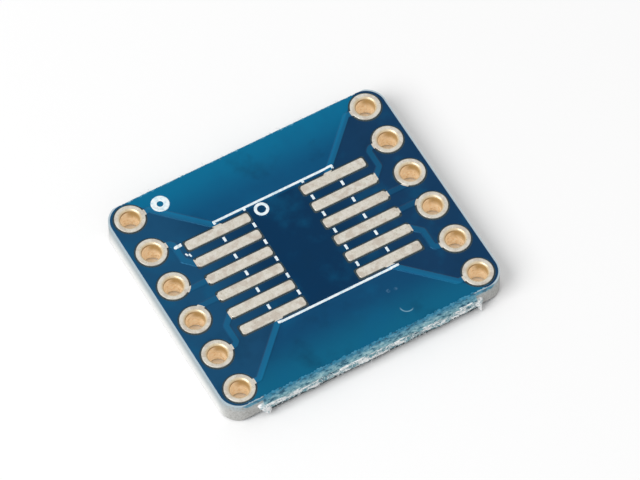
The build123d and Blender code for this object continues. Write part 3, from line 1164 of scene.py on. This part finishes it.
# %% Pads
pad_tree, given = new_tree("copies_on_a_grid", {
    "Column distance": float, "Column length": float, "Copies in a column": int,
    "Material": bpy.types.Material})
grid = add(pad_tree, "GeometryNodeMeshGrid", {
    "Size X": given["Column distance"], "Size Y": given["Column length"], "Vertices X": 2,
    "Vertices Y": given["Copies in a column"]})
copies = add(pad_tree, "GeometryNodeInstanceOnPoints", {"Points": grid, "Instance": given["Geometry"]})
close_tree(pad_tree, copies, given["Material"])


def pad_rows(name, solid, pitch, length, inner_x):
    pads = grown(name, solid, pad_tree, {
        "Column distance": (2 * inner_x + length) * MM, "Column length": pitch * (holes_per_row - 1) * MM,
        "Copies in a column": holes_per_row, "Material": plated_finish})
    fit(pads, net_nodes)


pad_rows("wide_pads", wide_pad, wide_pitch, wide_len, wide_inner_x)
pad_rows("fine_pads", fine_pad, fine_pitch, fine_len, fine_inner_x)

# %% [markdown]
# ## Traces
#
# Most of each trace lies under the mask. What can be seen of it is the short neck that shows in
# each opening, where it meets a ring or a pad. A flat section is swept along all the routes at
# once, so the necks are at the right angle of themselves.

# %% Traces
trace_edge_r = 0.012


def route_curve(name, routes, height):
    """All the routes of one face as polyline splines, in metres."""
    curve = bpy.data.curves.new(name, "CURVE")
    curve.dimensions = "3D"
    for route in routes:
        spline = curve.splines.new("POLY")
        spline.points.add(len(route) - 1)
        for point, (x, y) in zip(spline.points, route):
            point.co = (x * MM, y * MM, height * MM, 1)
    return curve


trace_tree, given = new_tree("strip_along_routes", {
    "Width": float, "Thickness": float, "Edge radius": float, "Material": bpy.types.Material})
strip = add(trace_tree, "GeometryNodeCurvePrimitiveQuadrilateral", {
    "Width": given["Width"], "Height": given["Thickness"]})
strip = add(trace_tree, "GeometryNodeFilletCurve", {
    "Curve": strip, "Radius": given["Edge radius"], "Count": 2}, mode="POLY")
swept = add(trace_tree, "GeometryNodeCurveToMesh", {
    "Curve": given["Geometry"], "Profile Curve": strip, "Fill Caps": True})
close_tree(trace_tree, swept, given["Material"])


def trace_set(name, routes, width, height):
    outside = [from_the_ring(route) for route in routes]
    traces = grown(name, route_curve(name, outside, height), trace_tree, {
        "Width": width * MM, "Thickness": foil_t * MM, "Edge radius": trace_edge_r * MM,
        "Material": plated_finish})
    fit(traces, net_nodes)


trace_set("top_traces", wide_routes, wide_trace_w, core_top + foil_t / 2)
trace_set("bottom_traces", fine_routes, fine_trace_w, core_bottom - foil_t / 2)

# %% [markdown]
# ## Laminate
#
# The sheet's side wall is a strip of columns that goes round the outline, each with the same rows
# from bottom to top. Round the corners and along the two sides the wall is routed and upright.
# Along the two ends the scoring blade has left a slope above and below, and the web between them
# was snapped. There the rows are pushed about by noise, more where the glass tore than where the
# blade cut. The broad faces are then filled round the twelve drilled holes, so that the sheet is
# one closed solid.

# %% Side wall of the laminate
column_step, row_count = 0.05, 27
lump_mm, lump_high_mm, lump_out = 0.75, 0.5, 0.100
fray_mm, fray_high_mm, fray_out = 0.16, 0.09, 0.050
score_grain_mm, score_rough = 0.12, 0.035


def outline_columns():
    """The outline anticlockwise, as rows of x, y and one on a snapped end or nothing elsewhere.

    Half of it runs from the front left to the back right, and a half turn gives the other half.
    """
    side_y = routed_half_y - corner_r
    side_x = half_x - corner_r
    snapped = np.linspace(-snapped_half_x, snapped_half_x, int(2 * snapped_half_x / column_step))
    front = [(x, -half_y, 1) for x in snapped]
    front += [(x, -routed_half_y, 0) for x in np.linspace(snapped_half_x, side_x, 10)]
    corner = [(math.sin(a), math.cos(a)) for a in np.radians(np.linspace(0, 90, 25))]
    front += [(side_x + corner_r * s, -side_y - corner_r * c, 0) for s, c in corner[1:]]
    front += [(half_x, y, 0) for y in np.linspace(-side_y, side_y, 60)[1:-1]]
    front += [(side_x + corner_r * c, side_y + corner_r * s, 0) for s, c in corner]
    front += [(x, routed_half_y, 0) for x in np.linspace(side_x, snapped_half_x, 10)[1:]]
    front = np.array(front)
    return np.vstack([front, front * (-1, -1, 1)])


def scored_limit(z, snapped):
    """How far out the sheet reaches at that height along its two ends. Torn glass stands proud."""
    share = max((z - web_high) / score_above, (web_low - z) / score_below, 0)
    return half_y - score_half_w * share + snapped * web_proud * (1 - share) ** 1.5


def torn_wall():
    """The points of the side wall, column by column, and how torn each is, from 0 to 1."""
    rows = np.linspace(core_bottom, core_top, row_count)
    points, torn = [], []
    for x, y, snapped in outline_columns():
        for z in rows:
            limit = scored_limit(z, snapped)
            reach = limit if snapped else min(abs(y), limit)
            web = smooth_step(min(z - web_low, web_high - z), -0.02, 0.06) * snapped
            scored = max(snapped, float(abs(y) > limit))
            inner = smooth_step(min(z - core_bottom, core_top - z), 0.0, 0.06)
            lump = noise.noise(Vector((x / lump_mm, z / lump_high_mm, y)))
            fray = noise.fractal(Vector((x / fray_mm, z / fray_high_mm, y)), 0.6, 2.2, 4)
            scratch = noise.fractal(Vector((x / score_grain_mm, z / score_grain_mm, 7 + y)), 0.7, 2.2, 3)
            push = web * (lump_out * lump + fray_out * fray)
            push += (scored - web) * inner * score_rough * scratch
            points.append((x, math.copysign(reach + push, y), z))
            torn.append(0.4 * scored * inner + web * (0.56 + 1.3 * lump + 0.3 * fray))
    return np.array(points), np.clip(torn, 0, 1)


wall_points, wall_torn = torn_wall()
print(f"{len(wall_points)} points round the edge, {np.mean(wall_torn > 0.6):.0%} of them torn")

# %% Laminate
drill_r, drill_sides = bore_r + plating_t, 48


def laminate_sheet(points, torn, rows):
    columns = len(points) // rows
    faces = []
    for column in range(columns):
        here, there = column * rows, (column + 1) % columns * rows
        faces += [(here + row, there + row, there + row + 1, here + row + 1) for row in range(rows - 1)]
    drills = [disc(x, y, drill_r, drill_sides) for x, y in hole_spots]
    sheets = [points]
    first = len(points)
    for z, row, flip in ((core_bottom, 0, True), (core_top, rows - 1, False)):
        rim = points[row::rows, :2]
        flat, triangles = filled([rim] + [drill.loop(0) for drill in drills], INSIDE_ONLY, 1e-6)
        outside_drills = nearest_gap(flat[triangles].mean(axis=1), drills) > 0
        triangles = triangles[outside_drills]
        sheets.append(np.column_stack([flat, np.full(len(flat), z)]))
        faces += [tuple((t[::-1] if flip else t) + first) for t in triangles]
        first += len(flat)
    for drill in drills:
        loop = drill.loop(0)
        for z in (core_bottom, core_top):
            sheets.append(np.column_stack([loop, np.full(len(loop), z)]))
        for i in range(drill_sides):
            j = (i + 1) % drill_sides
            faces.append((first + j, first + i, first + drill_sides + i, first + drill_sides + j))
        first += 2 * drill_sides
    solid = np.vstack(sheets)
    numbers = np.zeros(len(solid))
    numbers[:len(torn)] = torn
    return mesh_piece("laminate_sheet", solid, faces, laminate_finish, {"torn": numbers})


sheet = laminate_sheet(wall_points, wall_torn, row_count)
fit(sheet, ["fr4_core"])

# %% [markdown]
# ## Torn fibres
#
# Glass cloth doesn't snap clean. Short strands stand out of the web in all directions, most of
# them along the edge. A tree scatters points on two strips that lie on the webs, turns a thin
# curved strand to a random way out at each, and makes them all real. The seed is fixed, so the
# same strands come back each time.

# %% Torn fibres
strand_r, strand_length = 0.010, 0.30
strands_per_mm2, strand_seed = 55, 11
strand_sink = 0.06
bare_lip = 0.14
stray_low, stray_high = (-2.2, -0.2, -0.8), (2.2, 0.2, 0.6)

fibre_tree, given = new_tree("strands_on_a_strip", {
    "Strand length": float, "Strand radius": float, "Density": float, "Seed": int,
    "Material": bpy.types.Material})
scatter = add(fibre_tree, "GeometryNodeDistributePointsOnFaces", {
    "Mesh": given["Geometry"], "Density": given["Density"], "Seed": given["Seed"]})
tip = add(fibre_tree, "ShaderNodeCombineXYZ", {"Z": given["Strand length"]})
bow = add(fibre_tree, "ShaderNodeCombineXYZ", {"X": 0.25, "Z": 0.55})
bow = add(fibre_tree, "ShaderNodeVectorMath", {0: bow, "Scale": given["Strand length"]}, operation="SCALE")
bent = add(fibre_tree, "GeometryNodeCurvePrimitiveBezierSegment", {
    "Resolution": 5, "Start": (0, 0, 0), "Start Handle": bow, "End Handle": bow, "End": tip})
round_wire = add(fibre_tree, "GeometryNodeCurvePrimitiveCircle", {
    "Resolution": 5, "Radius": given["Strand radius"]})
strand = add(fibre_tree, "GeometryNodeCurveToMesh", {
    "Curve": bent, "Profile Curve": round_wire, "Fill Caps": True})
stray = add(fibre_tree, "FunctionNodeRandomValue", {
    "Min": stray_low, "Max": stray_high, "Seed": given["Seed"]}, data_type="FLOAT_VECTOR")
way_out = add(fibre_tree, "ShaderNodeVectorMath", {
    0: scatter.outputs["Normal"], 1: stray}, operation="ADD")
aimed = add(fibre_tree, "FunctionNodeAlignRotationToVector", {"Vector": way_out}, axis="Z")
size = add(fibre_tree, "FunctionNodeRandomValue", {
    "Min": 0.35, "Max": 1.0, "Seed": given["Seed"]}, data_type="FLOAT")
strands = add(fibre_tree, "GeometryNodeInstanceOnPoints", {
    "Points": scatter.outputs["Points"], "Instance": strand, "Rotation": aimed, "Scale": size})
close_tree(fibre_tree, strands, given["Material"])


def web_strips():
    """A strip just inside each snapped web, facing out."""
    points, faces = [], []
    for end in (-1, 1):
        y = end * (half_y + web_proud - strand_sink)
        first = len(points)
        for x, z in ((-1, web_low + bare_lip), (1, web_low + bare_lip), (1, web_high), (-1, web_high)):
            points.append((-end * x * snapped_half_x, y, z))
        faces.append((first, first + 1, first + 2, first + 3))
    return metre_mesh("web_strips", points, [], faces)


strips = web_strips()
print("strips face", [tuple(round(v) for v in face.normal) for face in strips.polygons])
fibres = grown("torn_fibres", strips, fibre_tree, {
    "Strand length": strand_length * MM, "Strand radius": strand_r * MM,
    "Density": strands_per_mm2 / MM ** 2, "Seed": strand_seed, "Material": glass_finish})
fit(fibres, [])

# %% [markdown]
# ## Torn stubs
#
# At each end of the front web a stub of the panel was pulled off with the board. The left one is
# a short tongue, bent down, and the right one a thorn that ends near the table. Three bundles of
# glass have come loose along the web beside them. Each is lofted through oval sections along a
# bent line that starts inside the board, and roughened.

# %% Torn stubs
stub_sides, stub_rough, stub_grain_mm = 20, 0.028, 0.09

# Each row is x, y, z, half the width and half the thickness
stub_sections = {
    "left_stub": [
        (-6.76, -7.44, 0.92, 0.42, 0.20), (-6.74, -7.62, 0.88, 0.40, 0.18),
        (-6.70, -7.72, 0.68, 0.30, 0.13), (-6.64, -7.79, 0.46, 0.20, 0.09),
        (-6.60, -7.84, 0.30, 0.12, 0.06), (-6.58, -7.87, 0.22, 0.03, 0.02)],
    "right_stub": [
        (6.86, -7.44, 0.86, 0.36, 0.18), (6.87, -7.62, 0.82, 0.33, 0.15),
        (6.91, -7.72, 0.60, 0.20, 0.10), (6.94, -7.79, 0.38, 0.10, 0.06),
        (6.96, -7.85, 0.18, 0.05, 0.04), (6.97, -7.89, 0.04, 0.012, 0.012)],
    "upper_strand": [
        (5.36, -7.62, 1.04, 0.02, 0.02), (5.86, -7.69, 1.09, 0.035, 0.035),
        (6.46, -7.69, 1.07, 0.035, 0.03), (7.01, -7.58, 0.96, 0.02, 0.02)],
    "lower_strand": [
        (5.26, -7.68, 0.84, 0.02, 0.02), (5.76, -7.79, 0.74, 0.035, 0.035),
        (6.31, -7.80, 0.70, 0.035, 0.035), (6.82, -7.68, 0.74, 0.02, 0.02)],
    "left_strand": [
        (-6.64, -7.62, 0.96, 0.02, 0.02), (-6.14, -7.76, 0.88, 0.035, 0.035),
        (-5.59, -7.79, 0.76, 0.035, 0.03), (-5.04, -7.66, 0.70, 0.02, 0.02)],
}


def smoothed(sections, steps):
    """More sections in between, on a smooth curve through the given ones."""
    rows = np.array(sections)
    padded = np.vstack([2 * rows[0] - rows[1], rows, 2 * rows[-1] - rows[-2]])
    result = []
    for i in range(1, len(padded) - 2):
        a, b, c, d = padded[i - 1:i + 3]
        for t in np.linspace(0, 1, steps, endpoint=False):
            result.append(0.5 * (2 * b + (c - a) * t + (2 * a - 5 * b + 4 * c - d) * t ** 2
                                 + (3 * b - a - 3 * c + d) * t ** 3))
    result.append(padded[-2])
    return np.array(result)


def stub(name, sections):
    rows = smoothed(sections, 6)
    along = np.gradient(rows[:, :3], axis=0)
    loops = []
    for (x, y, z, half_width, half_thickness), run in zip(rows, along):
        middle = Vector((x, y, z))
        run = Vector(run).normalized()
        across = Vector((1, 0, 0)) if abs(run.x) < 0.7 else Vector((0, 0, 1))
        over = run.cross(across).normalized()
        loop = []
        for angle in np.linspace(0, 2 * math.pi, stub_sides, endpoint=False):
            spoke = across * half_width * math.cos(angle) + over * half_thickness * math.sin(angle)
            rough = noise.fractal((middle + spoke) / stub_grain_mm, 0.6, 2.2, 3)
            loop.append(middle + spoke + spoke.normalized() * rough * min(stub_rough, half_thickness / 2))
        loops.append(np.array([tuple(p) for p in loop]))
    points, faces = lofted(loops)
    piece = mesh_piece(name, points, faces, glass_finish)
    fit(piece, [])


for name, sections in stub_sections.items():
    stub(name, sections)
